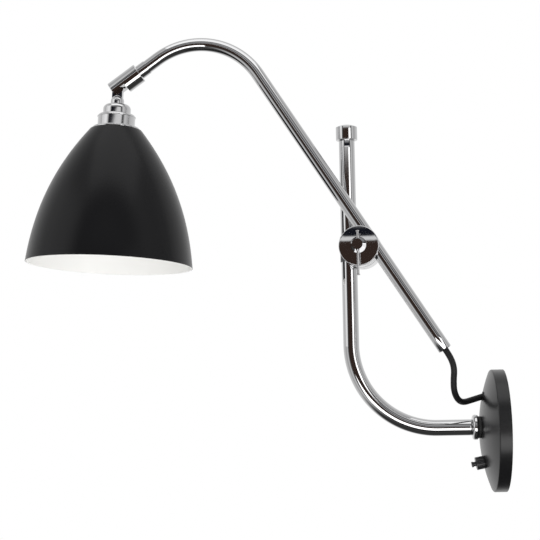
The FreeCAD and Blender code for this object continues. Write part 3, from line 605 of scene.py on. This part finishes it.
def addFloor(s):
    mesh = bpy.data.meshes.new("floor")
    w, z = s["half"], s["z"]
    mesh.from_pydata([(-w, -w, z), (w, -w, z), (w, w, z), (-w, w, z)], [], [(0, 1, 2, 3)])
    floor = bpy.data.objects.new("floor", mesh)
    bpy.context.scene.collection.objects.link(floor)
    material = bpy.data.materials.new("floorWhite")
    material.use_nodes = True
    n, link = material.node_tree.nodes, material.node_tree.links
    shader = n["Principled BSDF"]
    shader.inputs["Base Color"].default_value = (*s["color"], 1.0)
    shader.inputs["Roughness"].default_value = s["rough"]
    white = n.new("ShaderNodeEmission")
    path = n.new("ShaderNodeLightPath")
    seen = n.new("ShaderNodeMath")
    seen.operation = "MULTIPLY"
    seen.inputs[1].default_value = s["white"]
    mix = n.new("ShaderNodeMixShader")
    link.new(path.outputs["Is Camera Ray"], seen.inputs[0])
    link.new(seen.outputs[0], mix.inputs["Fac"])
    link.new(shader.outputs[0], mix.inputs[1])
    link.new(white.outputs[0], mix.inputs[2])
    link.new(mix.outputs[0], n["Material Output"].inputs["Surface"])
    mesh.materials.append(material)
    floor.visible_glossy = False


addFloor(floorPlan)
bpy.context.scene.view_settings.view_transform = "Standard"
print("world and lights set")


def uprightPath(s):
    # a stub out of the wall, a quarter of a circle, and the straight upright
    z, r = s["stubZ"], s["bend"]
    start = X * collarFront + Z * z
    a = X * (s["x"] + r) + Z * z
    b = X * s["x"] + Z * (z + r)
    top = X * s["x"] + Z * s["top"]
    straight, around = s["steps"]
    run = np.linspace(0, 1, straight)[:, None]
    bend = arcPoints(a + Z * r, a, b, around)
    return flatPath([start + (a - start) * run, bend, b + (top - b) * run])


uprightTube = sweptTube("uprightTube", uprightPath(upright), Y, upright["radius"],
                        upright["radius"] - upright["wall"], tubeEnds)
dress(uprightTube, "polishedChrome", "wall_bracket", "polished_chrome", sharp["tube"], "upright_tube")

cap = {
    "radius": 0.0102,
    "height": 0.015,
    "skirt": 0.011,
    "rise": 0.0026,
    "edge": 0.0003,
    "wall": 0.0027,
    "inside": 0.004,
    "rounds": (0.0002, 0.0003),
    "steps": 20,
}


def capProfile(s):
    # a straight skirt with a turned-in rim, closed by a shallow part of a ball
    ball = (s["radius"] ** 2 + s["rise"] ** 2) / (2 * s["rise"])
    side = s["height"] - s["rise"]
    bore = s["radius"] - s["wall"]
    corners = [(bore, s["inside"]), (bore, 0.0), (s["radius"], 0.0), (s["radius"], side)]
    rim = roundedProfile(corners, s["rounds"])
    r = np.linspace(s["radius"] - s["edge"], poleRadius, s["steps"])
    dome = np.stack([r, s["height"] - ball + np.sqrt(ball**2 - r**2)], -1)
    return np.concatenate([rim, dome])


capPiece = lathe("uprightCap", capProfile(cap),
                 frameMatrix(X * upright["x"] + Z * (upright["top"] - cap["skirt"]), Z, X))
dress(capPiece, "polishedChrome", "wall_bracket", "polished_chrome", sharp["cap"], "upright_cap")

collarProfile = roundedProfile(
    [(collar["bore"], 0.0), (collar["radius"], 0.0), (collar["radius"], collar["length"]),
     (collar["bore"], collar["length"])],
    [collar["round"], collar["round"]],
    collar["steps"],
)
collarPiece = lathe("stubCollar", collarProfile,
                    frameMatrix(X * (collarFront + collar["length"]) + Z * upright["stubZ"], -X, Z))
dress(collarPiece, "polishedChrome", "wall_bracket", "polished_chrome", sharp["round"], "stub_collar")
print("upright and collar made")


def armPath(s):
    # the straight arm, the arc of its crook, and a short straight into the knuckle's ring
    lead = ringStart + endDown * (s["ring"] - s["gap"])
    straight, around, end = s["steps"]
    run = np.linspace(0, 1, straight)[:, None]
    short = np.linspace(0, 1, end)[:, None]
    flat = flatPath([
        armMouth + (crookStart - armMouth) * run,
        arcPoints(crookCentre, crookStart, crookEnd, around),
        crookEnd + (lead - crookEnd) * short,
    ])
    return np.array([armPoint(p) for p in flat])


armTube = sweptTube("armTube", armPath(arm), deeper, arm["radius"], arm["radius"] - arm["wall"], tubeEnds)
dress(armTube, "polishedChrome", "arm", "polished_chrome", sharp["tube"], "arm_tube")
print("arm made")

shade = {
    "topDepth": 0.0408,
    "height": 0.1316,
    "top": 0.0247,
    "mouth": 0.0797,
    "wall": 0.0011,
    "hole": 0.0180,
    "topRound": 0.0012,
    "shoulder": (0.0287, 0.0355),
    "skirt": (0.0063, 0.056),
    "lip": (0.45, 0.0001),
    "steps": 90,
    "segments": 192,
}


def shadeOuter(s):
    # one Bezier curve, from the edge of the top to the mouth
    top, mouth = -s["topDepth"], -s["topDepth"] - s["height"]
    poles = [
        (s["top"], top),
        (s["top"] + s["shoulder"][0], top - s["shoulder"][1]),
        (s["mouth"] - s["skirt"][0], mouth + s["skirt"][1]),
        (s["mouth"], mouth),
    ]
    return bezierPoints(poles, s["steps"])


def offsetInward(curve, amount):
    # the curve runs outwards and down, so its inner side is (dz, -dr)
    way = unitTangents(curve)
    return curve + np.stack([way[:, 1], -way[:, 0]], -1) * amount


shadeCurve = shadeOuter(shade)
crownCorners = [(shade["hole"], shadeCurve[0][1]), tuple(shadeCurve[0]), tuple(shadeCurve[2])]
crown = roundedProfile(crownCorners, [shade["topRound"]])
lipShare, lipDrop = shade["lip"]
lip = shadeCurve[-1] + np.array([-shade["wall"] * lipShare, -lipDrop])
outerProfile = np.concatenate([crown[:-1], shadeCurve[2:], [lip]])
shadeOut = lathe("shadeOutside", outerProfile[::-1], headFrame, shade["segments"])
dress(shadeOut, "satinBlack", "lamp_head", "shade_black", sharp["round"], "shade")

liningCurve = offsetInward(shadeCurve, shade["wall"])
liningRim = np.array([lip, shadeCurve[-1] + np.array([-shade["wall"], lipDrop])])
liningTop = np.array([[shade["hole"], liningCurve[1][1]]])
liningProfile = np.concatenate([liningRim, liningCurve[::-1][1:-1], liningTop])
shadeIn = lathe("shadeLining", liningProfile, headFrame, shade["segments"])
dress(shadeIn, "whiteEnamel", "lamp_head", "shade_black", sharp["round"])
print("shade made")

# Turned and milled parts: the solid's own surface, merged so that its curves shade smoothly.
turnedParts = {
    "polished_chrome": (
        "rear_block", "front_block", "clamp_screw", "tommy_bar", "bar_ends", "knuckle_collar",
        "knuckle_sleeve", "pivot_pin", "pivot_stem", "holder_cap", "holder_body",
    ),
    "satin_black": ("wall_plate",),
    "black_plastic": ("switch_nut", "switch_plunger"),
    "black_rubber": ("collar_gasket", "plate_grommet", "arm_bush"),
    "bulb_cap_metal": ("bulb_base",),
    "opal_glass": ("bulb_glass",),
    "porcelain": ("lamp_socket",),
    "bush_plastic": ("clamp_liner", "friction_washer"),
}
mergeWithin = 0.000001


def mergedCopy(node):
    # corners at the same place become one point, and each face keeps its own corners
    source = nodes[node].data
    co = np.empty(len(source.vertices) * 3, np.float32)
    source.vertices.foreach_get("co", co)
    co = co.reshape(-1, 3)
    corners = np.empty(len(source.loops), np.int32)
    source.loops.foreach_get("vertex_index", corners)
    spots = np.round(co / mergeWithin).astype(np.int64)
    first, index = np.unique(spots, axis=0, return_index=True, return_inverse=True)[1:]
    faces = index.ravel()[corners].reshape(-1, 3)
    whole = (faces[:, 0] != faces[:, 1]) & (faces[:, 1] != faces[:, 2]) & (faces[:, 2] != faces[:, 0])
    words = node.split("_")
    name = words[0] + "".join(w.capitalize() for w in words[1:])
    mesh = bpy.data.meshes.new(name)
    mesh.from_pydata(co[first].tolist(), [], faces[whole].tolist())
    obj = bpy.data.objects.new(name, mesh)
    bpy.context.scene.collection.objects.link(obj)
    return obj


for slotName, group in turnedParts.items():
    for node in group:
        body = next(b for b, empty in frame["bodies"].items() if empty == nodes[node].parent)
        obj = mergedCopy(node)
        dress(obj, finishOf.get(node, "polishedChrome"), body, slotName, sharp["turned"], node)
        weighted = obj.modifiers.new("weighted", "WEIGHTED_NORMAL")
        weighted.keep_sharp = True
print("turned parts made")

# The flex's size and control points, in metres. It follows the arm, fully at the arm's bush and
# not at all at the plate; "held" is the part of its length over which that fades.
flex = {
    "radius": 0.0029,
    "length": 0.086,
    "lead": 0.0098,
    "entry": 0.032,
    "sides": 24,
    "resolution": 16,
    "free": (
        (-0.0482, -0.0336, 0.0573),
        (-0.0489, -0.0302, 0.0474),
        (-0.0485, -0.0265, 0.0369),
        (-0.0445, -0.0194, 0.0290),
        (-0.0386, -0.0101, 0.0265),
        (-0.0297, -0.0032, 0.0289),
    ),
    "held": (0.10, 0.92),
}


def splinePoints(route, resolution):
    # the smooth line of a NURBS spline with the route as its control points
    curve = bpy.data.curves.new("flexRoute", "CURVE")
    curve.dimensions = "3D"
    curve.resolution_u = resolution
    spline = curve.splines.new("NURBS")
    spline.points.add(len(route) - 1)
    poles = np.array([(*place, 1.0) for place in route], np.float32)
    spline.points.foreach_set("co", poles.ravel())
    spline.order_u = 3
    spline.use_endpoint_u = True
    bare = bpy.data.objects.new("flexRoute", curve)
    line = bpy.data.meshes.new_from_object(bare)
    points = np.empty(len(line.vertices) * 3, np.float32)
    line.vertices.foreach_get("co", points)
    bpy.data.objects.remove(bare)
    bpy.data.meshes.remove(line)
    return flatPath([points.reshape(-1, 3).astype(float)])


def roundTube(name, centres, radius, sides):
    # ring(i, a) = centre_i + radius * unit(i, a), with the side carried along so as not to twist
    tangents = unitTangents(centres)
    normals = [np.cross(tangents[0], X)]
    for tangent in tangents[1:]:
        normals.append(normals[-1] - tangent * (normals[-1] @ tangent))
    normals = np.array(normals)
    normals /= np.linalg.norm(normals, axis=1)[:, None]
    unit = ringUnits(normals, np.cross(tangents, normals), sides)
    rings = centres[:, None, :] + unit * radius
    start = centres[:1, None, :] + unit[:1] * poleRadius
    end = centres[-1:, None, :] + unit[-1:] * poleRadius
    return gridMesh(name, np.concatenate([start, rings, end])[:, ::-1])


def addFlex(s):
    bush = tuple(armPoint(armMouth))
    below = tuple(armPoint(armMouth - armUp * s["lead"]))
    route = [bush, below, *s["free"], (domeX(s["entry"]), 0.0, s["entry"])]
    centres = splinePoints(route, s["resolution"])
    obj = roundTube("flexCord", centres, s["radius"], s["sides"])
    dress(obj, "flexSheath", "wall_bracket", "flex_sheath", sharp["round"], "flex_cord")
    travel = np.r_[0.0, np.cumsum(np.linalg.norm(np.diff(centres, axis=0), axis=1))]
    full, free = s["held"]
    t = np.clip((travel / travel[-1] - full) / (free - full), 0, 1)
    share = np.pad(1 - t * t * (3 - 2 * t), 1, mode="edge")
    group = obj.vertex_groups.new(name="withArm")
    for ring, weight in enumerate(share):
        group.add(list(range(ring * s["sides"], (ring + 1) * s["sides"])), float(weight), "REPLACE")
    hook = obj.modifiers.new("withArm", "HOOK")
    hook.object = frame["bodies"]["arm"]
    hook.vertex_group = group.name
    hook.falloff_type = "NONE"


addFlex(flex)
print("flex made")

bpy.context.view_layer.update()
